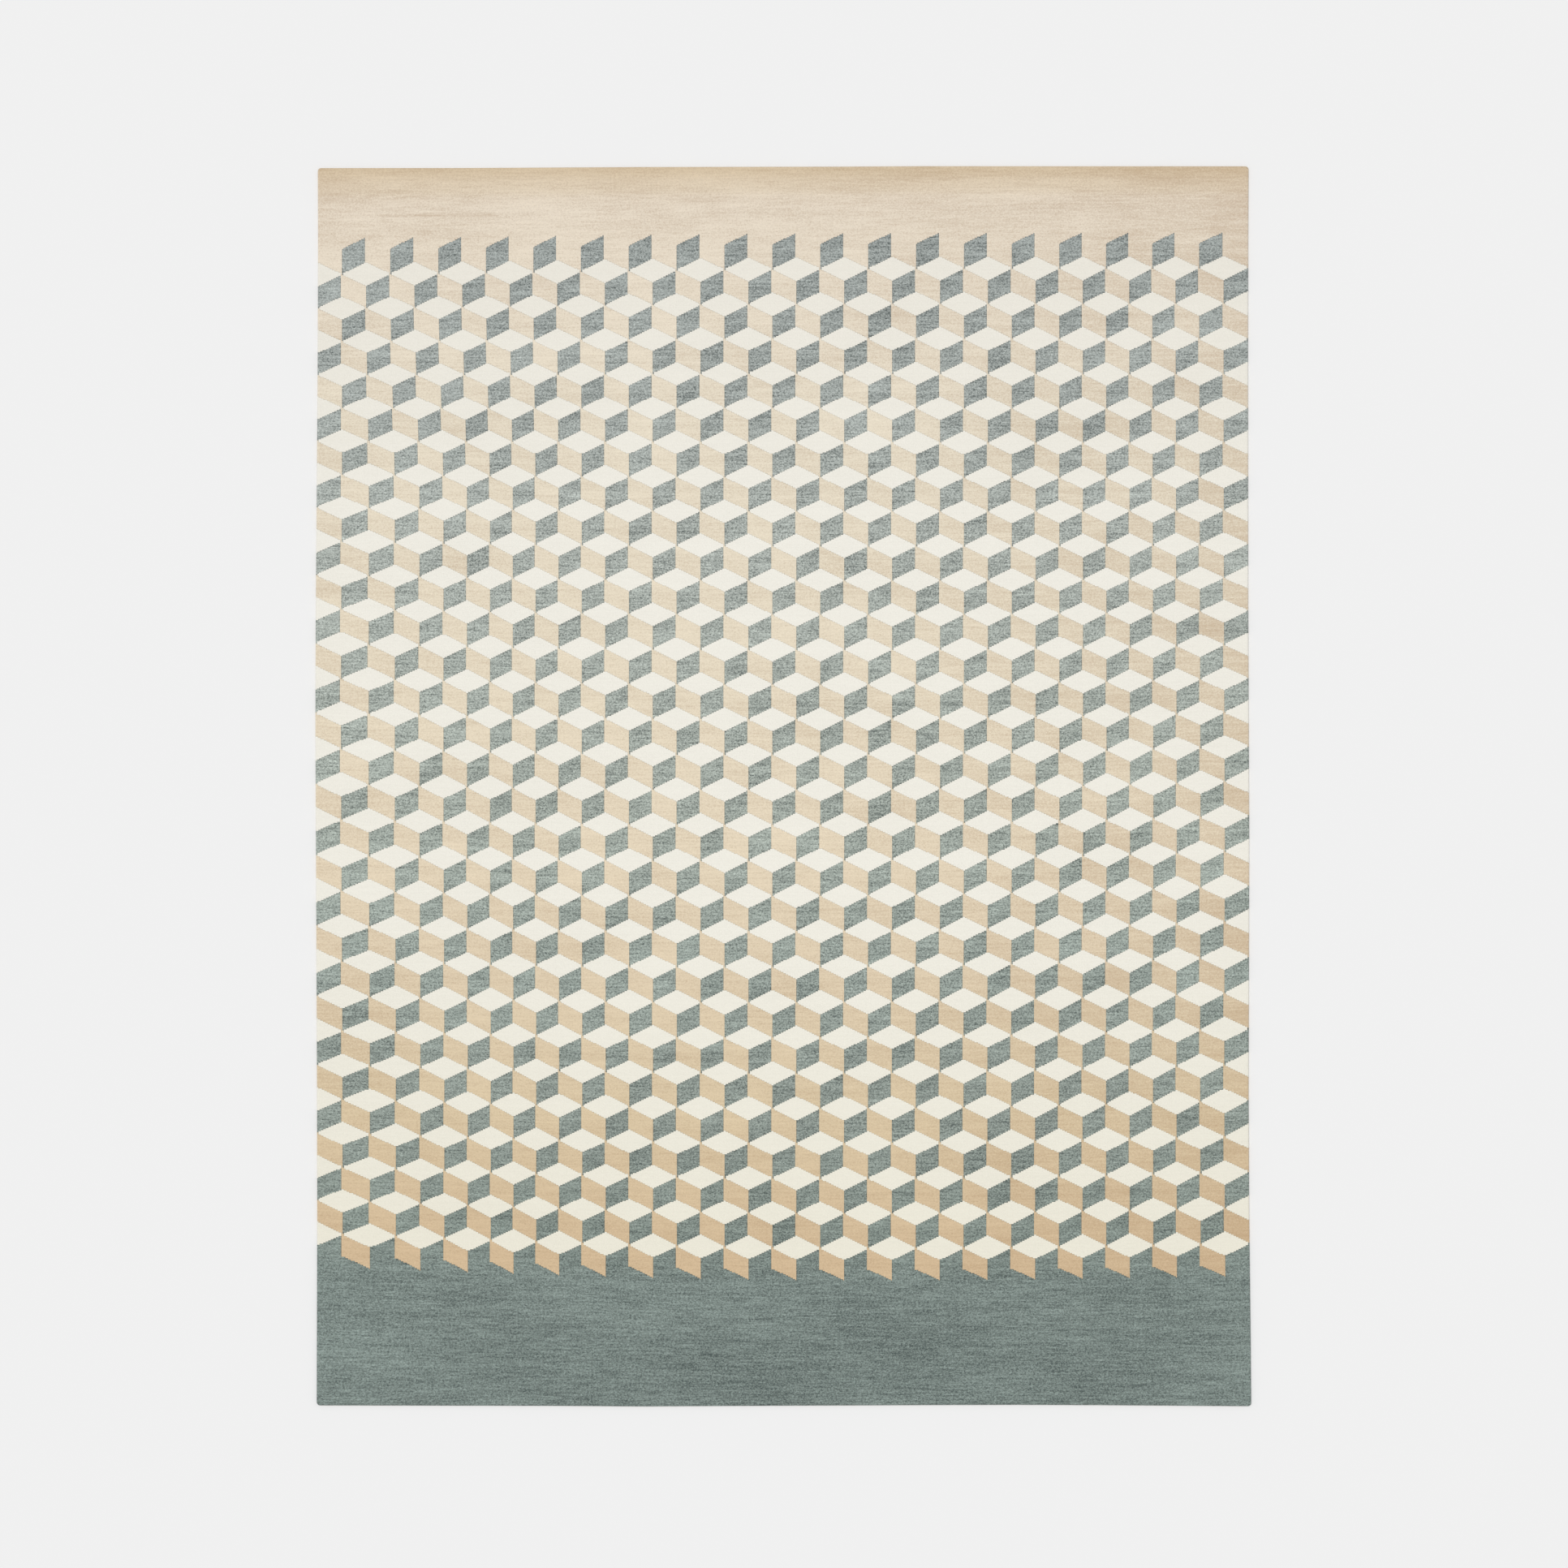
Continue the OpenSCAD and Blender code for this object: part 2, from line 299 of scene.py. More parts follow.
def pileFaces(mask):
    # the knots' tops as quads, and the directed edges round them, with the pile on their left
    framed = np.pad(mask, 1)
    nw, ne, sw, se = framed[:-1, :-1], framed[:-1, 1:], framed[1:, :-1], framed[1:, 1:]
    crossed = (nw & se & ~ne & ~sw) | (ne & sw & ~nw & ~se)
    line, column = np.nonzero(mask)

    def corner(i, j, isSouth):
        # where two knots meet only at a corner, each side keeps its own point
        return 2 * (i * (columns + 1) + j) + (crossed[i, j] & isSouth)

    quads = np.stack([
        corner(line + 1, column, False), corner(line + 1, column + 1, False),
        corner(line, column + 1, True), corner(line, column, True)], axis=-1)
    edges = []
    for side, (di, dj) in enumerate([(1, 0), (0, 1), (-1, 0), (0, -1)]):
        isOpen = ~framed[line + 1 + di, column + 1 + dj]
        edges.append(quads[isOpen][:, [side, (side + 1) % 4]])
    return quads, np.concatenate(edges)


def traceLoops(edges):
    following = dict(edges.tolist())
    found = []
    while following:
        start, at = following.popitem()
        loop = [start]
        while at != start:
            loop.append(at)
            at = following.pop(at)
        found.append(loop)
    return found


def wallMap(count, low, high):
    # a small square of the map for each wall face
    across = math.ceil(math.sqrt(count / (high - low)))
    down = math.ceil(count / across)
    cell = np.arange(count)
    inset = np.array([[0.15, 0.85], [0.15, 0.15], [0.85, 0.15], [0.85, 0.85]])
    u = (cell[:, None] % across + inset[:, 0]) / across
    v = low + (high - low) * (cell[:, None] // across + inset[:, 1]) / down
    return np.stack([u, v], axis=-1).reshape(-1, 2)


def pilePiece(name, mask, heights):
    quads, edges = pileFaces(mask)
    used, quads = np.unique(quads, return_inverse=True)
    quads = quads.reshape(-1, 4)
    edges = np.searchsorted(used, edges)
    node = used // 2
    i, j = node // (columns + 1), node % (columns + 1)
    x = rugLow.x + j * knotW
    y = rugHigh.y - i * knotH
    z = heights[i, j]

    # directions in from the edge, summed over the two edges that meet at each point
    inward = np.zeros((len(used), 2))
    run = np.stack([x[edges[:, 1]] - x[edges[:, 0]], y[edges[:, 1]] - y[edges[:, 0]]], axis=-1)
    normal = np.sign(np.round(np.stack([-run[:, 1], run[:, 0]], axis=-1), 6))
    np.add.at(inward, edges[:, 0], normal)
    np.add.at(inward, edges[:, 1], normal)
    inward = np.clip(inward, -1, 1)

    onEdge = np.unique(edges)
    ringOf = np.full(len(used), -1)
    ringOf[onEdge] = np.arange(len(onEdge))
    isRim = (i == 0) | (i == lines) | (j == 0) | (j == columns)
    rim = isRim[onEdge]

    def ring(inset, rimInset, height):
        shift = np.where(rim, rimInset, inset)[:, None] * inward[onEdge] * millimetre
        return np.column_stack([x[onEdge] + shift[:, 0], y[onEdge] + shift[:, 1], height])

    topEdge = ring(pile["grooveInset"], pile["rimInset"],
                   z[onEdge] - np.where(rim, pile["rimShoulder"], pile["shoulder"]))
    middle = ring(pile["wallInset"], -pile["rimFlare"],
                  np.where(rim, pile["rimFlareHeight"], z[onEdge] - pile["grooveDepth"]))
    foot = ring(pile["wallInset"], pile["rimFootInset"], np.full(len(onEdge), pile["foot"]))
    top = np.column_stack([x, y, z])
    top[onEdge] = topEdge
    points = np.concatenate([top, middle, foot])
    points[:, 2] *= millimetre

    a, b = edges[:, 0], edges[:, 1]
    middleA, middleB = len(used) + ringOf[a], len(used) + ringOf[b]
    footA, footB = middleA + len(onEdge), middleB + len(onEdge)
    walls = np.concatenate([
        np.stack([b, a, middleA, middleB], axis=-1),
        np.stack([middleB, middleA, footA, footB], axis=-1)])
    loops = [[len(used) + len(onEdge) + ringOf[k] for k in reversed(loop)] for loop in traceLoops(edges)]

    # bake map: the tops in two halves, then the walls, then the small feet
    low, high = y.min(), y.max()
    isRight = (np.nonzero(mask)[1] >= columns // 2)[:, None]
    across = (points[quads, 0] - np.where(isRight, 0, rugLow.x)) / (rugWidth / 2)
    up = (points[quads, 1] - low) / (high - low)
    halfAt = np.where(isRight, 0.37, 0.01)
    tops = np.stack([0.01 + 0.98 * across, halfAt + 0.345 * up], axis=-1).reshape(-1, 2)
    feet = points[np.concatenate(loops)]
    footMap = np.column_stack([
        0.01 + 0.5 * (feet[:, 0] - rugLow.x) / rugWidth, 0.96 + 0.03 * (feet[:, 1] - low) / (high - low)])
    bakeMap = np.concatenate([tops, wallMap(len(walls), 0.735, 0.95), footMap])

    allQuads = np.concatenate([quads, walls])
    corners = np.concatenate([allQuads.ravel(), *loops])
    knotMap = np.stack(knotPlace(points[corners, 0], points[corners, 1]), axis=-1)
    piece = newPiece(name, wandered(points), allQuads, loops, {"knots": knotMap, "OFBake": bakeMap})
    # a sheared shoulder is crisp beside a groove and round at the rug's rim
    ends = np.zeros(2 * len(piece.data.edges), np.int32)
    piece.data.edges.foreach_get("vertices", ends)
    ends = np.sort(ends.reshape(-1, 2), axis=1)
    crisp = np.sort(edges[~(isRim[a] & isRim[b])], axis=1)
    edgeKeys = ends[:, 0].astype(np.int64) * len(points) + ends[:, 1]
    isCrisp = np.isin(edgeKeys, crisp[:, 0] * len(points) + crisp[:, 1])
    piece.data.attributes.new("sharp_edge", "BOOLEAN", "EDGE").data.foreach_set("value", isCrisp)
    # marks the groove's edges, where the yarn's colour gets the painted groove shade or highlight
    nearGroove = np.zeros(len(points), np.float32)
    nearGroove[onEdge] = 1
    nearGroove[len(used):] = 1
    piece.data.attributes.new("groove", "FLOAT", "POINT").data.foreach_set("value", nearGroove)
    return piece


# Shader helpers

def srgb(red, green, bluePart):
    def linear(value):
        value = value / 255
        return value / 12.92 if value <= 0.04045 else ((value + 0.055) / 1.055) ** 2.4
    return (linear(red), linear(green), linear(bluePart), 1)


def addNode(tree, kind, inputs=None, **settings):
    node = tree.nodes.new(kind)
    for key, value in settings.items():
        setattr(node, key, value)
    for key, value in (inputs or {}).items():
        if isinstance(value, bpy.types.NodeSocket):
            tree.links.new(value, node.inputs[key])
        else:
            node.inputs[key].default_value = value
    return node


def calc(tree, operation, *values):
    return addNode(tree, "ShaderNodeMath", dict(enumerate(values)), operation=operation).outputs[0]


def times(tree, first, second):
    return calc(tree, "MULTIPLY", first, second)


def plus(tree, first, second):
    return calc(tree, "ADD", first, second)


def minus(tree, first, second):
    return calc(tree, "SUBTRACT", first, second)


def ratio(tree, first, second):
    return calc(tree, "DIVIDE", first, second)


def mixed(tree, factor, first, second):
    # one colour at factor 0, the other at 1
    inputs = {"Factor": factor, 6: first, 7: second}
    return addNode(tree, "ShaderNodeMix", inputs, data_type="RGBA").outputs[2]


def parted(tree, vector):
    return addNode(tree, "ShaderNodeSeparateXYZ", {0: vector}).outputs


def wave(tree, value):
    # a rounded hump over each whole step of the value
    return calc(tree, "SINE", times(tree, value, math.pi))


def newGroup(name, inputs, outputs):
    group = bpy.data.node_groups.new(name, "ShaderNodeTree")
    kinds = {"value": "NodeSocketFloat", "colour": "NodeSocketColor", "vector": "NodeSocketVector"}
    for label, (kind, default) in inputs.items():
        socket = group.interface.new_socket(label, in_out="INPUT", socket_type=kinds[kind])
        if default is not None:
            socket.default_value = default
    for label, kind in outputs.items():
        group.interface.new_socket(label, in_out="OUTPUT", socket_type=kinds[kind])
    entry = group.nodes.new("NodeGroupInput")
    leave = group.nodes.new("NodeGroupOutput")
    return group, entry.outputs, leave.inputs


def useGroup(tree, group, inputs):
    node = tree.nodes.new("ShaderNodeGroup")
    node.node_tree = group
    for key, value in inputs.items():
        if isinstance(value, bpy.types.NodeSocket):
            tree.links.new(value, node.inputs[key])
        else:
            node.inputs[key].default_value = value
    return node.outputs


def noiseAt(tree, vector, scale=(1, 1, 1), detail=2.0, rough=0.5, offset=0.0):
    moved = addNode(tree, "ShaderNodeMapping", {
        "Vector": vector, "Scale": scale, "Location": (offset, offset, 0)})
    noise = addNode(tree, "ShaderNodeTexNoise", {
        "Vector": moved.outputs[0], "Scale": 1.0, "Detail": detail, "Roughness": rough})
    return minus(tree, noise.outputs[0], 0.5)


# Node groups

def makeKnotTone():
    # how much lighter or darker the yarn is at a place: knots, fibres, weft lines, dye lots, and painted
    # sheen where the nap lies one way or another
    group, ins, outs = newGroup("knotTone", {
        "Knots": ("vector", None), "Knot": ("value", 0.05), "Fibre": ("value", 0.1),
        "Line": ("value", 0.1), "Dye": ("value", 0.1), "PaintedNapSheen": ("value", 0.1),
        "Bow": ("value", 0.0), "BowAt": ("value", 0.5)}, {"Tone": "value"})
    tuft = addNode(group, "ShaderNodeTexVoronoi", {"Vector": ins["Knots"], "Scale": 1.3, "Randomness": 1.0})
    perKnot = addNode(group, "ShaderNodeSeparateColor", {0: tuft.outputs["Color"]}).outputs[0]
    parts = [times(group, minus(group, perKnot, 0.5), ins["Knot"])]
    split = parted(group, ins["Knots"])
    line = addNode(group, "ShaderNodeCombineXYZ", {
        "X": times(group, split[0], 0.045), "Y": times(group, split[1], 0.62)}).outputs[0]
    # each with its place, scale, detail, roughness and offset
    noises = {
        "Fibre": (ins["Knots"], (0.55, 0.75, 1), 3.0, 0.6, 0.0),
        "Line": (line, (1, 1, 1), 2.0, 0.6, 31.7),
        "Dye": (ins["Knots"], (0.011, 0.13, 1), 3.0, 0.6, 7.3),
        # painted sheen: large soft patches, lighter or darker as the nap lies
        "PaintedNapSheen": (ins["Knots"], (0.009, 0.016, 1), 2.0, 0.5, 3.1),
    }
    for label, settings in noises.items():
        parts.append(times(group, noiseAt(group, *settings), ins[label]))
    aside = minus(group, ratio(group, split[0], columns), ins["BowAt"])
    parts.append(times(group, times(group, aside, aside), ins["Bow"]))
    total = parts[0]
    for part in parts[1:]:
        total = plus(group, total, part)
    group.links.new(total, outs["Tone"])
    return group


def makeTinted():
    # a colour made lighter or darker by a tone, with a little of a second colour where it is darker
    group, ins, outs = newGroup("tinted", {
        "Color": ("colour", None), "Shade": ("colour", None),
        "Tone": ("value", 0.0), "Mix": ("value", 1.0)}, {"Color": "colour"})
    gain = plus(group, ins["Tone"], 1.0)
    lit = addNode(group, "ShaderNodeVectorMath", {0: ins["Color"], 3: gain}, operation="SCALE").outputs[0]
    darker = calc(group, "MAXIMUM", times(group, ins["Tone"], -1.0), 0.0)
    depth = times(group, darker, ins["Mix"])
    group.links.new(mixed(group, depth, lit, ins["Shade"]), outs["Color"])
    return group


def makePaintedGrooveShadeAndHighlight():
    # painted shade: darkens the yarn close to a sheared groove, or paints a highlight there where the amount
    # is below zero
    group, ins, outs = newGroup("paintedGrooveShadeAndHighlight", {
        "Color": ("colour", None), "Amount": ("value", 0.2), "Sharpness": ("value", 6.0)},
        {"Color": "colour"})
    near = addNode(group, "ShaderNodeAttribute", attribute_name="groove").outputs["Fac"]
    close = times(group, calc(group, "POWER", near, ins["Sharpness"]), ins["Amount"])
    gain = minus(group, 1.0, close)
    lit = addNode(group, "ShaderNodeVectorMath", {0: ins["Color"], 3: gain}, operation="SCALE").outputs[0]
    group.links.new(lit, outs["Color"])
    return group


def makeTuftHeight():
    # height of the sheared tips: the knots' own cells, and the cut fibre ends in them
    group, ins, outs = newGroup("tuftHeight", {
        "Knots": ("vector", None), "Cell": ("value", 0.4), "Tips": ("value", 0.6)}, {"Height": "value"})
    part = addNode(group, "ShaderNodeVectorMath", {0: ins["Knots"]}, operation="FRACTION").outputs[0]
    split = parted(group, part)
    humpX = wave(group, split[0])
    humpY = wave(group, split[1])
    hump = calc(group, "POWER", times(group, humpX, humpY), 0.5)
    tips = addNode(group, "ShaderNodeTexVoronoi", {"Vector": ins["Knots"], "Scale": 3.2, "Randomness": 1.0})
    tip = minus(group, 1.0, tips.outputs["Distance"])
    cells = times(group, hump, ins["Cell"])
    height = plus(group, cells, times(group, tip, ins["Tips"]))
    group.links.new(height, outs["Height"])
    return group


def makePlainWeave():
    # over and under threads; Size is one thread's width
    group, ins, outs = newGroup("plainWeave", {
        "Place": ("vector", None), "Size": ("value", 0.001)}, {"Height": "value", "Over": "value"})
    split = parted(group, ins["Place"])
    x = ratio(group, split[0], ins["Size"])
    y = ratio(group, split[1], ins["Size"])
    threads = plus(group, calc(group, "FLOOR", x), calc(group, "FLOOR", y))
    checks = calc(group, "FLOORED_MODULO", threads, 2.0)
    ridgeX = wave(group, calc(group, "FRACT", x))
    ridgeY = wave(group, calc(group, "FRACT", y))
    height = addNode(group, "ShaderNodeMix", {"Factor": checks, 2: ridgeX, 3: ridgeY}).outputs[0]
    group.links.new(height, outs["Height"])
    group.links.new(checks, outs["Over"])
    return group


def makeBlockPattern():
    # which yarn is tied at a knot, so that the back shows the face's pattern, without the face's leans
    group, ins, outs = newGroup("blockPattern", {"Knots": ("vector", None)},
                                {"Ivory": "value", "Blue": "value"})
    cell = addNode(group, "ShaderNodeVectorMath", {0: ins["Knots"]}, operation="FLOOR").outputs[0]
    split = parted(group, cell)

    def do(operation, *values):
        return calc(group, operation, *values)

    def both(a, b):
        return do("MULTIPLY", a, b)

    def neither(a):
        return do("SUBTRACT", 1.0, a)

    middleX = do("ADD", split[0], 0.5)
    middleY = do("ADD", split[1], 0.5)
    steps = do("DIVIDE", do("SUBTRACT", do("MULTIPLY", middleY, knotH), blocks["tanBand"]), rowStep)
    row = do("FLOOR", steps)
    tall = rowStep / (blocks["lozenge"] / 2)
    below = do("MULTIPLY", do("SUBTRACT", steps, row), tall)
    above = do("SUBTRACT", tall, below)
    phase = do("MULTIPLY", do("FLOORED_MODULO", row, 2.0), 0.5)
    place = do("SUBTRACT", do("MULTIPLY", middleX, knotW / blocks["width"]), phase)
    aside = do("SUBTRACT", do("FRACT", do("ADD", place, 0.5)), 0.5)
    far = do("MULTIPLY", do("ABSOLUTE", aside), 2.0)
    inUpper = do("LESS_THAN", do("ADD", far, below), 1.0)
    inLower = do("LESS_THAN", above, far)
    last = blocks["rows"] - 1
    isRight = do("GREATER_THAN", aside, 0.0)
    upperRow = both(do("GREATER_THAN", row, -0.5), do("LESS_THAN", row, last + 0.5))
    lowerRow = both(do("GREATER_THAN", row, -1.5), do("LESS_THAN", row, last - 0.5))
    isIvory = do("MAXIMUM", both(inUpper, upperRow), both(inLower, lowerRow))
    isFirst = both(do("LESS_THAN", row, -0.5), do("GREATER_THAN", row, -1.5))
    inside = both(isRight, neither(both(isFirst, inUpper)))
    isLast = do("GREATER_THAN", row, last - 0.5)
    isPast = do("GREATER_THAN", row, last + 0.5)
    lastBlue = do("MAXIMUM", both(isLast, inLower), isPast)
    isBlue = both(do("GREATER_THAN", row, -1.5), do("MAXIMUM", inside, lastBlue))
    group.links.new(isIvory, outs["Ivory"])
    group.links.new(both(isBlue, neither(isIvory)), outs["Blue"])
    return group


knotTone = makeKnotTone()
tinted = makeTinted()
paintedGrooveShadeAndHighlight = makePaintedGrooveShadeAndHighlight()
tuftHeight = makeTuftHeight()
plainWeave = makePlainWeave()
blockPattern = makeBlockPattern()
print("node groups made")


# Materials

def newMaterial(name, roughness, sheen=0.0, specular=0.3):
    material = bpy.data.materials.new(name)
    material.use_nodes = True
    tree = material.node_tree
    shader = tree.nodes["Principled BSDF"]
    values = {"Roughness": roughness, "Specular IOR Level": specular,
              "Sheen Weight": sheen, "Sheen Roughness": 0.5}
    for key, value in values.items():
        shader.inputs[key].default_value = value
    return material, tree, shader


def knotCoordinates(tree):
    return addNode(tree, "ShaderNodeUVMap", uv_map="knots").outputs[0]


def colourAlong(tree, knotsAt, stops):
    # colours along the rug, from the tan end at 0 to the blue-grey end at 1
    split = parted(tree, knotsAt)
    ramp = addNode(tree, "ShaderNodeValToRGB", {"Fac": ratio(tree, split[1], lines)})
    elements = ramp.color_ramp.elements
    while len(elements) < len(stops):
        elements.new(1.0)
    for element, (place, colour) in zip(elements, stops):
        element.position = place
        element.color = srgb(*colour)
    return ramp.outputs[0]


def tintedBy(tree, tone, colour, shade, mix=1.0):
    inputs = {"Color": colour, "Shade": srgb(*shade), "Tone": tone, "Mix": mix}
    return useGroup(tree, tinted, inputs)["Color"]


def addBump(tree, shader, height, strength, distance):
    bump = addNode(tree, "ShaderNodeBump", {"Height": height, "Strength": strength, "Distance": distance})
    tree.links.new(bump.outputs[0], shader.inputs["Normal"])


yarns = {
    "ivory": {
        "stops": [(0.08, (240, 236, 225)), (0.30, (245, 242, 232)), (0.60, (245, 242, 231)),
                  (0.87, (241, 237, 221))],
        "shade": (214, 206, 186), "shadeMix": 1.2, "roughness": 0.92, "sheen": 0.15,
        # a painted highlight beside the grooves
        "paintedGrooveLight": -0.02, "paintedGrooveSharpness": 1.5,
        # the nap's tone here is painted sheen
        "tone": {"Knot": 0.015, "Fibre": 0.05, "Line": 0.05, "Dye": 0.03, "PaintedNapSheen": 0.03, "Bow": -0.05},
    },
    "tan": {
        "stops": [(0.0, (215, 195, 165)), (0.006, (220, 201, 173)), (0.012, (225, 208, 183)),
                  (0.018, (227, 211, 187)), (0.024, (231, 217, 197)), (0.034, (233, 220, 201)),
                  (0.20, (234, 223, 202)), (0.42, (234, 221, 197)), (0.53, (233, 218, 192)),
                  (0.65, (227, 209, 180)), (0.76, (222, 202, 168)), (0.88, (215, 189, 153))],
        "shade": (190, 150, 106), "shadeMix": 2.2, "roughness": 0.72, "sheen": 0.25,
        # a painted highlight beside the grooves
        "paintedGrooveLight": -0.04, "paintedGrooveSharpness": 1.5,
        # the nap's tone here is painted sheen
        "tone": {"Knot": 0.08, "Fibre": 0.24, "Line": 0.18, "Dye": 0.15, "PaintedNapSheen": 0.14,
                 "Bow": -0.17, "BowAt": 0.33},
        "streaks": [(0.08, 2, 110, 6, -0.03), (0.05, 21, 70, 8, -0.055), (0.05, 52, 110, 12, -0.035),
                    (0.13, 38.5, 62, 1.3, -0.07), (0.42, 27, 26, 4, -0.03), (0.73, 5, 75, 5, -0.045),
                    (0.78, 36, 120, 9, -0.03), (0.99, 30, 34, 12, -0.03)],
    },
    "blue": {
        "stops": [(0.06, (154, 160, 157)), (0.20, (162, 168, 164)), (0.31, (169, 175, 169)),
                  (0.42, (165, 172, 165)), (0.53, (161, 169, 161)), (0.65, (151, 161, 154)),
                  (0.76, (143, 152, 145)), (0.86, (132, 143, 136)), (0.90, (124, 136, 131)),
                  (1.0, (122, 134, 129))],
        "shade": (80, 96, 95), "shadeMix": 0.6, "roughness": 0.95, "sheen": 0.12,
        # painted shade beside the grooves
        "paintedGrooveLight": 0.06, "paintedGrooveSharpness": 6.0,
        # the nap's tone here is painted sheen
        "tone": {"Knot": 0.60, "Fibre": 1.8, "Line": 1.15, "Dye": 0.65, "PaintedNapSheen": 0.45,
                 "Bow": 0.24, "BowAt": 0.6},
        "streaks": [(0.57, 1006, 170, 28, -0.06), (0.98, 960, 70, 20, 0.06), (0.0, 990, 40, 16, 0.03),
                    (0.20, 954, 170, 12, -0.045), (0.56, 958, 70, 14, 0.04), (0.42, 990, 90, 9, -0.06),
                    (0.80, 994, 110, 8, -0.045)],
    },
}


def streakTone(tree, knotsAt, streaks):
    # long soft marks along the weft: share across, line, half length and half height in knots, and tone
    unevenNoise = noiseAt(tree, knotsAt, (0.05, 0.3, 1), 3.0, 0.6, 11.0)
    uneven = plus(tree, times(tree, unevenNoise, 3.0), 1.0)
    total = 0.0
    for across, line, halfLength, halfHeight, tone in streaks:
        place = addNode(tree, "ShaderNodeMapping", {
            "Vector": knotsAt, "Location": (-across * columns / halfLength, -line / halfHeight, 0),
            "Scale": (1 / halfLength, 1 / halfHeight, 0)}).outputs[0]
        distance = addNode(tree, "ShaderNodeVectorMath", {0: place}, operation="LENGTH").outputs["Value"]
        squared = times(tree, distance, distance)
        fall = calc(tree, "EXPONENT", times(tree, squared, -1.0))
        total = plus(tree, total, times(tree, fall, tone))
    return times(tree, total, uneven)


tufts = {"Cell": 0.5, "Tips": 0.5, "bumpStrength": 0.8, "bumpDistance": 0.0010}


def yarnMaterial(name):
    yarn = yarns[name]
    material, tree, shader = newMaterial(name + "Yarn", yarn["roughness"], yarn["sheen"])
    knotsAt = knotCoordinates(tree)
    base = colourAlong(tree, knotsAt, yarn["stops"])
    tone = useGroup(tree, knotTone, {"Knots": knotsAt, **yarn["tone"]})["Tone"]
    if "streaks" in yarn:
        tone = plus(tree, tone, streakTone(tree, knotsAt, yarn["streaks"]))
    shaded = tintedBy(tree, tone, base, yarn["shade"], yarn["shadeMix"])
    # painted shade beside the grooves, or a painted highlight where the amount is below zero
    paintedGrooveColour = useGroup(tree, paintedGrooveShadeAndHighlight, {"Color": shaded, "Amount": yarn["paintedGrooveLight"],
                                         "Sharpness": yarn["paintedGrooveSharpness"]})["Color"]
    tree.links.new(paintedGrooveColour, shader.inputs["Base Color"])
    height = useGroup(tree, tuftHeight, {"Knots": knotsAt, "Cell": tufts["Cell"], "Tips": tufts["Tips"]})
    addBump(tree, shader, height["Height"], tufts["bumpStrength"], tufts["bumpDistance"])
    rough = plus(tree, yarn["roughness"], times(tree, tone, -0.4))
    tree.links.new(rough, shader.inputs["Roughness"])
    return material


def knotBackMaterial():
    material, tree, shader = newMaterial("knotBackYarns", 0.95, 0.1)
    knotsAt = knotCoordinates(tree)
    pattern = useGroup(tree, blockPattern, {"Knots": knotsAt})
    colours = {name: colourAlong(tree, knotsAt, yarns[name]["stops"]) for name in yarns}
    twoYarns = mixed(tree, pattern["Blue"], colours["tan"], colours["blue"])
    allYarns = mixed(tree, pattern["Ivory"], twoYarns, colours["ivory"])
    # two collars to a knot, and a thin weft between the lines
    double = addNode(tree, "ShaderNodeVectorMath", {
        0: knotsAt, 1: (2, 1, 1)}, operation="MULTIPLY").outputs[0]
    part = addNode(tree, "ShaderNodeVectorMath", {0: double}, operation="FRACTION").outputs[0]
    split = parted(tree, part)
    collarX = wave(tree, split[0])
    collarY = wave(tree, split[1])
    collar = calc(tree, "POWER", times(tree, collarX, collarY), 0.4)
    # the nap's tone here is painted sheen
    tone = useGroup(tree, knotTone, {
        "Knots": knotsAt, "Knot": 0.12, "Fibre": 0.15, "Line": 0.1, "Dye": 0.1, "PaintedNapSheen": 0.05})["Tone"]
    shaded = tintedBy(tree, tone, allYarns, (120, 110, 96))
    gap = minus(tree, 1.0, calc(tree, "POWER", collar, 0.5))
    weft = mixed(tree, times(tree, gap, 0.7), shaded, srgb(205, 197, 180))
    tree.links.new(weft, shader.inputs["Base Color"])
    addBump(tree, shader, collar, 0.8, 0.0007)
    return material


def wrapMaterial(name):
    # the pile's own yarn, wound round the side
    yarn = yarns[name]
    material, tree, shader = newMaterial(name + "Overcast", 0.9, 0.15)
    knotsAt = knotCoordinates(tree)
    base = colourAlong(tree, knotsAt, yarn["stops"])
    # the nap's tone here is painted sheen
    tone = useGroup(tree, knotTone, {
        "Knots": knotsAt, "Knot": 0.0, "Fibre": 0.35, "Line": 0.0, "Dye": 0.2, "PaintedNapSheen": 0.1})["Tone"]
    shaded = tintedBy(tree, tone, base, yarn["shade"])
    tree.links.new(shaded, shader.inputs["Base Color"])
    fibres = noiseAt(tree, knotsAt, (4.0, 14.0, 1), 3.0, 0.6)
    addBump(tree, shader, fibres, 0.4, 0.0003)
    return material


def objectPlace(tree):
    return addNode(tree, "ShaderNodeTexCoord").outputs["Object"]


def cottonMaterial(name, colour, threadSize, amount=0.16):
    material, tree, shader = newMaterial(name, 0.88, 0.1)
    place = objectPlace(tree)
    woven = useGroup(tree, plainWeave, {"Place": place, "Size": threadSize})
    slub = noiseAt(tree, place, (260.0, 260.0, 260.0), 4.0, 0.6)
    patch = noiseAt(tree, place, (9.0, 9.0, 9.0), 2.0, 0.5)
    tone = plus(tree, times(tree, slub, amount), times(tree, patch, amount))
    # painted shade: darker where the threads dip between one another
    paintedShadeBetween = times(tree, minus(tree, woven["Height"], 1.0), 0.12)
    total = plus(tree, tone, paintedShadeBetween)
    shaded = tintedBy(tree, total, srgb(*colour), (168, 152, 124))
    tree.links.new(shaded, shader.inputs["Base Color"])
    addBump(tree, shader, woven["Height"], 0.7, 0.0004)
    return material


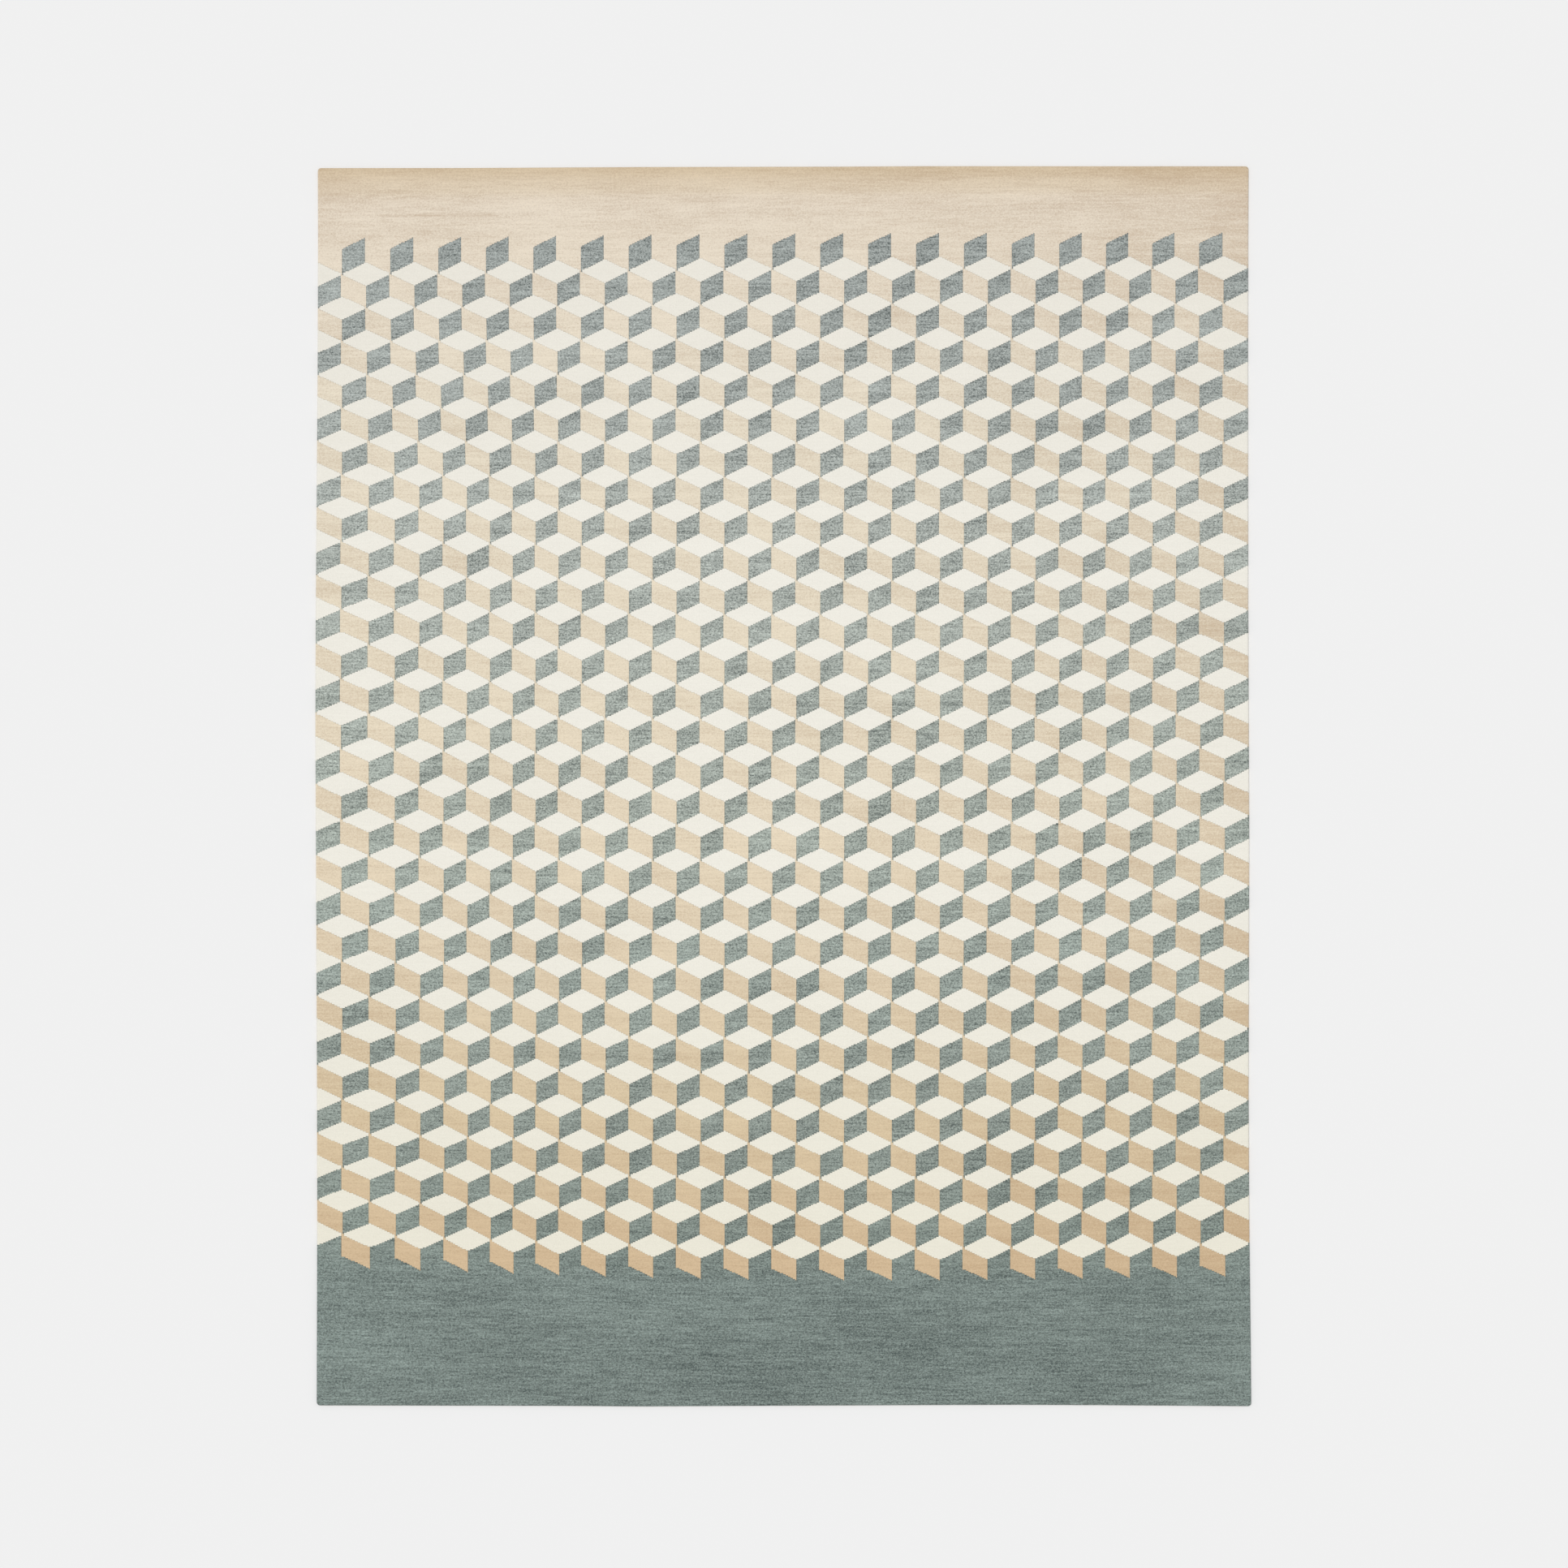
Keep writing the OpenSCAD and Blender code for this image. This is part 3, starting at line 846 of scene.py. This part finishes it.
def cordMaterial(name, colour, twist):
    # twisted threads: the plies run slantwise round the cord
    material, tree, shader = newMaterial(name, 0.85, 0.1)
    place = objectPlace(tree)
    split = parted(tree, place)
    slant = plus(tree, plus(tree, split[0], split[1]), times(tree, split[2], 1.5))
    ply = calc(tree, "ABSOLUTE", calc(tree, "SINE", times(tree, slant, math.pi / twist)))
    fuzz = noiseAt(tree, place, (700.0, 700.0, 700.0), 3.0, 0.6)
    # painted shade: darker between the plies
    paintedShadeBetween = times(tree, minus(tree, ply, 1.0), 0.1)
    tone = plus(tree, times(tree, fuzz, 0.2), paintedShadeBetween)
    shaded = tintedBy(tree, tone, srgb(*colour), (150, 136, 110))
    tree.links.new(shaded, shader.inputs["Base Color"])
    addBump(tree, shader, ply, 0.5, 0.0003)
    return material


herringbone = {"stripe": 0.006, "rib": 0.0016, "steepness": 3.0, "colour": (222, 212, 190)}


def tapeMaterial():
    # herringbone hem tape
    material, tree, shader = newMaterial("tapeCotton", 0.86, 0.1)
    place = objectPlace(tree)
    split = parted(tree, place)
    column = ratio(tree, split[1], herringbone["stripe"])
    zigzag = calc(tree, "PINGPONG", column, 1.0)
    rise = times(tree, zigzag, herringbone["steepness"])
    slant = plus(tree, ratio(tree, split[0], herringbone["rib"]), rise)
    rib = wave(tree, calc(tree, "FRACT", slant))
    slub = noiseAt(tree, place, (400.0, 400.0, 400.0), 3.0, 0.6)
    # painted shade: darker between the ribs
    paintedShadeBetween = times(tree, minus(tree, rib, 1.0), 0.14)
    tone = plus(tree, times(tree, slub, 0.15), paintedShadeBetween)
    shaded = tintedBy(tree, tone, srgb(*herringbone["colour"]), (160, 144, 116))
    tree.links.new(shaded, shader.inputs["Base Color"])
    addBump(tree, shader, rib, 0.6, 0.0003)
    return material


materials = {name: yarnMaterial(name) for name in yarns}
materials["backs"] = knotBackMaterial()
materials["tanWrap"] = wrapMaterial("tan")
materials["blueWrap"] = wrapMaterial("blue")
materials["kilim"] = cottonMaterial("kilimCotton", (231, 224, 207), 0.0012)
materials["foundation"] = cordMaterial("foundationCotton", (232, 226, 210), 0.0012)
materials["tape"] = tapeMaterial()
materials["thread"] = cordMaterial("sewingThread", (226, 219, 203), 0.0004)
print("materials made")


# Camera, light and floor

studio = {
    "lens": 100.0,
    "view": 4.6224,          # width of floor that the picture covers
    "aim": (0.0026, 0.0072),
    "floor": (240, 240, 240),
    "world": 0.52,
    "sun": 1.55,
    "sunSoftness": 35.0,
    "sunTilt": (9.0, -7.0),
    "floorReach": 40.0,
    "floorLevel": -0.0002,
}


def makeStudio():
    scene = bpy.context.scene
    scene.view_settings.view_transform = "Standard"
    camera = bpy.data.cameras.new("studioCamera")
    camera.lens = studio["lens"]
    camera.clip_end = 100
    holder = bpy.data.objects.new("studioCamera", camera)
    distance = studio["view"] / camera.sensor_width * camera.lens
    holder.location = (*studio["aim"], distance + rugHigh.z)
    scene.collection.objects.link(holder)
    scene.camera = holder

    world = bpy.data.worlds.new("studioWorld")
    world.use_nodes = True
    background = world.node_tree.nodes["Background"]
    background.inputs["Color"].default_value = (1, 1, 1, 1)
    background.inputs["Strength"].default_value = studio["world"]
    scene.world = world

    lamp = bpy.data.lights.new("softSun", "SUN")
    lamp.energy = studio["sun"]
    lamp.angle = math.radians(studio["sunSoftness"])
    sun = bpy.data.objects.new("softSun", lamp)
    sun.rotation_euler = (math.radians(studio["sunTilt"][1]), math.radians(-studio["sunTilt"][0]), 0)
    scene.collection.objects.link(sun)

    reach = studio["floorReach"]
    floorMesh = bpy.data.meshes.new("studioFloor")
    z = studio["floorLevel"]
    floorMesh.from_pydata([(-reach, -reach, z), (reach, -reach, z), (reach, reach, z), (-reach, reach, z)],
                          [], [(0, 1, 2, 3)])
    material, tree, shader = newMaterial("studioFloor", 0.9, specular=0.0)
    shader.inputs["Base Color"].default_value = srgb(*studio["floor"])
    floorMesh.materials.append(material)
    studioFloor = bpy.data.objects.new("studioFloor", floorMesh)
    scene.collection.objects.link(studioFloor)


makeStudio()
print("studio ready")


# Pieces

def finishPiece(piece, material, slot, *nodes):
    piece.data.materials.clear()
    piece.data.materials.append(materials[material])
    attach(piece, "root")
    if nodes:
        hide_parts(*nodes)
    return piece


def makePile():
    yarnOf, rowOf = yarnOfKnots()
    heights = pileHeights()
    last = blocks["rows"] - 1
    groupOf = np.clip(rowOf, 0, last) // pile["rowsPerPiece"]
    tanBand = pilePiece("tanBandPile", (yarnOf == tan) & (rowOf < 0), heights)
    finishPiece(tanBand, "tan", "tan_yarn", "tan_band_pile")
    blueBand = pilePiece("blueBandPile", (yarnOf == blue) & (rowOf >= last), heights)
    finishPiece(blueBand, "blue", "blue_grey_wool", "blue_band_pile")
    made = [tanBand, blueBand]
    fields = [
        ("ivoryPile", yarnOf == ivory, "ivory", "ivory_wool", "ivory_pile"),
        ("tanPile", (yarnOf == tan) & (rowOf >= 0), "tan", "tan_yarn", "tan_face_pile"),
        ("bluePile", (yarnOf == blue) & (rowOf < last), "blue", "blue_grey_wool", "blue_face_pile"),
    ]
    for name, mask, material, slot, node in fields:
        for group in range(int(groupOf.max()) + 1):
            part = pilePiece(f"{name}{group + 1}", mask & (groupOf == group), heights)
            made.append(finishPiece(part, material, slot, node))
    return made


ground = {"step": 4, "top": 1.56, "relief": 0.05, "rimUnder": 0.35, "rimDrop": 0.3}


def makeGround():
    # the knots' backs, one cloth with the foundation
    low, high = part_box("knot_backs")
    x = np.linspace(low.x, high.x, round((high.x - low.x) / knotW / ground["step"]) + 1)
    y = np.linspace(low.y, high.y, round((high.y - low.y) / knotH / ground["step"]) + 1)
    rng = np.random.default_rng(knots["seed"] + 1)
    under = ground["relief"] * rng.random((len(y), len(x)))
    under[:, [0, -1]] = ground["rimUnder"]
    over = np.full((len(y), len(x)), ground["top"])
    over[:, [0, -1]] = ground["top"] - ground["rimDrop"]
    gridX, gridY = np.meshgrid(x, y)
    bottom = np.stack([gridX, gridY, under * millimetre], axis=-1)
    top = np.stack([gridX, gridY, over * millimetre], axis=-1)[:, ::-1]
    rings = np.concatenate([bottom, top], axis=1)[::-1]
    return sweptPiece("knotBacks", rings[None], ground["step"] * knotH, 2 * rugWidth)


overcast = {"pitch": 0.0021, "ringsPerTurn": 3, "sides": 12, "relief": 0.09, "pinch": 0.92,
            "squareness": 0.8, "girth": 0.016}


def makeOvercast(node, name):
    # yarn wound round the edge cords, turn beside turn
    low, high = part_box(node)
    count = round((high.y - low.y) / overcast["pitch"] * overcast["ringsPerTurn"])
    y = np.linspace(high.y, low.y, count + 1)[:, None]
    turn = np.linspace(0, 2 * math.pi, overcast["sides"], endpoint=False)
    winding = 2 * math.pi * y / overcast["pitch"] + turn
    swell = overcast["pinch"] + overcast["relief"] * np.cos(winding)
    halfW, halfH = (high.x - low.x) / 2, (high.z - low.z) / 2
    outX = np.sign(np.cos(turn)) * np.abs(np.cos(turn)) ** overcast["squareness"]
    outZ = np.sign(np.sin(turn)) * np.abs(np.sin(turn)) ** overcast["squareness"]
    x = (low.x + high.x) / 2 + halfW * swell * outX
    z = (low.z + high.z) / 2 + halfH * swell * outZ
    rings = np.stack([x, y + 0 * x, z], axis=-1)
    return sweptPiece(name, rings[None], overcast["pitch"] / overcast["ringsPerTurn"], overcast["girth"])


edgeCord = {"sides": 8, "rings": 260}


def makeEdgeCords(node, name):
    low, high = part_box(node)
    radius = (high.z - low.z) / 2
    turn = np.linspace(0, 2 * math.pi, edgeCord["sides"], endpoint=False)
    y = np.linspace(high.y, low.y, edgeCord["rings"])[:, None]
    tubes = []
    for centre in (low.x + radius, high.x - radius):
        x = centre + radius * np.cos(turn) + 0 * y
        z = (low.z + high.z) / 2 + radius * np.sin(turn) + 0 * y
        tubes.append(np.stack([x, y + 0 * x, z], axis=-1))
    return sweptPiece(name, tubes, (high.y - low.y) / (edgeCord["rings"] - 1), 2 * math.pi * radius)


kilim = {
    "thickness": 0.62,
    "bend": 1.1,
    "segment": 0.007,
    "turnIn": 0.0118,        # how far it goes on past the tape, to the knots
}


def stripAlongX(name, low, high, outline, segment, girth):
    # outline gives the section as (y, z) points, seen along +X
    count = round((high.x - low.x) / segment)
    x = np.linspace(low.x, high.x, count + 1)[:, None]
    rings = np.stack([x + 0 * outline[:, 0], outline[:, 0] + 0 * x, outline[:, 1] + 0 * x], axis=-1)
    return sweptPiece(name, rings[None], segment, girth)


def makeKilim(node, name, end):
    # flat weave that comes down the rug's end and turns in underneath; end is 1 or -1
    low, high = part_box(node)
    half = kilim["thickness"] / 2 * millimetre
    bend = kilim["bend"] * millimetre
    edge = max(high.y, -low.y)
    depth = high.y - low.y + kilim["turnIn"]
    turn = np.linspace(0, math.pi / 2, 6)
    # centre line, as distance in from the end and height, from the top down and in
    down = [(half, high.z - step * millimetre) for step in (0.05, 0.8)]
    curve = [(half + bend * (1 - math.cos(t)), low.z + half + bend * (1 - math.sin(t))) for t in turn]
    flat = [(half + bend + (depth - half - bend) * share, low.z + half) for share in np.linspace(0.05, 1, 18)]
    line = np.array(down + curve + flat)
    ahead = np.gradient(line, axis=0)
    ahead /= np.linalg.norm(ahead, axis=1)[:, None]
    aside = np.stack([-ahead[:, 1], ahead[:, 0]], axis=-1) * half
    outline = np.concatenate([line + aside, (line - aside)[::-1]])
    outline = np.stack([end * (edge - outline[:, 0]), outline[:, 1]], axis=-1)
    if end < 0:
        outline = outline[::-1]
    return stripAlongX(name, low, high, outline, kilim["segment"], 2 * depth)


tape = {"across": 14, "segment": 0.007, "edge": 0.12}


def makeTape(node, name):
    low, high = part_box(node)
    y = np.linspace(low.y, high.y, tape["across"] + 1)
    inset = np.zeros(len(y))
    inset[[0, -1]] = tape["edge"] * millimetre
    bottom = np.stack([y, low.z + inset], axis=-1)
    top = np.stack([y, high.z - inset - 0.00002], axis=-1)[::-1]
    outline = np.concatenate([bottom, top])
    return stripAlongX(name, low, high, outline, tape["segment"], 2 * (high.y - low.y))


lockCord = {"pitch": 0.007, "ringsPerTurn": 8, "sides": 6}


def makeLockCord(node, name):
    # two plies twined round each other, which lock the last line of knots
    low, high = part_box(node)
    radius = (high.z - low.z) / 2
    ply = radius * 0.52
    count = round((high.x - low.x) / lockCord["pitch"] * lockCord["ringsPerTurn"])
    x = np.linspace(low.x, high.x, count + 1)[:, None]
    turn = np.linspace(0, 2 * math.pi, lockCord["sides"], endpoint=False)
    middleY, middleZ = (low.y + high.y) / 2, (low.z + high.z) / 2
    tubes = []
    for start in (0, math.pi):
        angle = 2 * math.pi * x / lockCord["pitch"] + start
        y = middleY + (radius - ply) * np.cos(angle) + ply * np.cos(turn)
        z = middleZ + (radius - ply) * np.sin(angle) + ply * np.sin(turn)
        tubes.append(np.stack([x + 0 * y, y, z], axis=-1))
    return sweptPiece(name, tubes, lockCord["pitch"] / lockCord["ringsPerTurn"], 2 * math.pi * ply)


stitch = {
    "gap": 0.020,
    "slant": 0.0016,
    "sides": 6,
    "rise": 0.55,            # how far each stitch goes up into the flat weave
    "over": 0.55,            # share of the stitch that rises
    "halfWidth": 0.00045,
    "rings": 9,
    "segment": 0.001,
}


def makeStitches(node, name, end):
    # whip stitches: each comes out of the tape, runs over its inner edge and goes into the flat weave
    low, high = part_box(node)
    radius = (high.z - low.z) / 2
    count = round((high.x - low.x - 2 * radius) / stitch["gap"]) + 1
    places = np.linspace(low.x + radius, high.x - radius, count)
    share = np.linspace(0, 1, stitch["rings"])
    y = low.y + (high.y - low.y) * (share if end > 0 else 1 - share)
    risen = smooth(stitch["over"], 0.0, share) * (share < stitch["over"])
    z = low.z + radius + stitch["rise"] * millimetre * risen
    slope = np.gradient(z, y)
    turn = np.linspace(0, 2 * math.pi, stitch["sides"], endpoint=False)
    tubes = []
    for place in places:
        middleX = place + stitch["slant"] * (share - 0.5)
        x = middleX[:, None] - end * stitch["halfWidth"] * np.cos(turn)
        height = z[:, None] + radius * np.sin(turn)
        lean = slope[:, None] * radius * np.sin(turn) * 0.5
        tubes.append(np.stack([x, y[:, None] - lean, height], axis=-1))
    return sweptPiece(name, tubes, stitch["segment"], 2 * math.pi * radius)


pilePieces = makePile()
print("pile made:", len(pilePieces), "pieces,", sum(len(p.data.polygons) for p in pilePieces), "faces")

knotBacks = finishPiece(makeGround(), "backs", "knot_back_yarn", "knot_backs")
for side in ("left", "right"):
    for colour, slot in (("tan", "tan_yarn"), ("blue", "blue_grey_wool")):
        node = f"{side}_{colour}_overcast"
        wrap = makeOvercast(node, f"{side}{colour.title()}Overcast")
        finishPiece(wrap, f"{colour}Wrap", slot, node)
    node = f"{side}_edge_cords"
    cords = makeEdgeCords(node, f"{side}EdgeCords")
    finishPiece(cords, "foundation", "foundation_cotton", node)
print("sides made")

for colour, end in (("tan", 1), ("blue", -1)):
    flatEnd = makeKilim(f"{colour}_end_kilim", f"{colour}EndKilim", end)
    finishPiece(flatEnd, "kilim", "foundation_cotton", f"{colour}_end_kilim")
    lock = makeLockCord(f"{colour}_end_lock_cord", f"{colour}EndLockCord")
    finishPiece(lock, "foundation", "foundation_cotton", f"{colour}_end_lock_cord")
    hem = makeTape(f"{colour}_end_tape", f"{colour}EndTape")
    finishPiece(hem, "tape", "tape_cotton", f"{colour}_end_tape")
    sewn = makeStitches(f"{colour}_end_stitches", f"{colour}EndStitches", end)
    finishPiece(sewn, "thread", "sewing_thread", f"{colour}_end_stitches")
print("ends made")

for node in ("warp_threads", "weft_threads"):
    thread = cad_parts[node]
    thread.data.materials.clear()
    thread.data.materials.append(materials["foundation"])
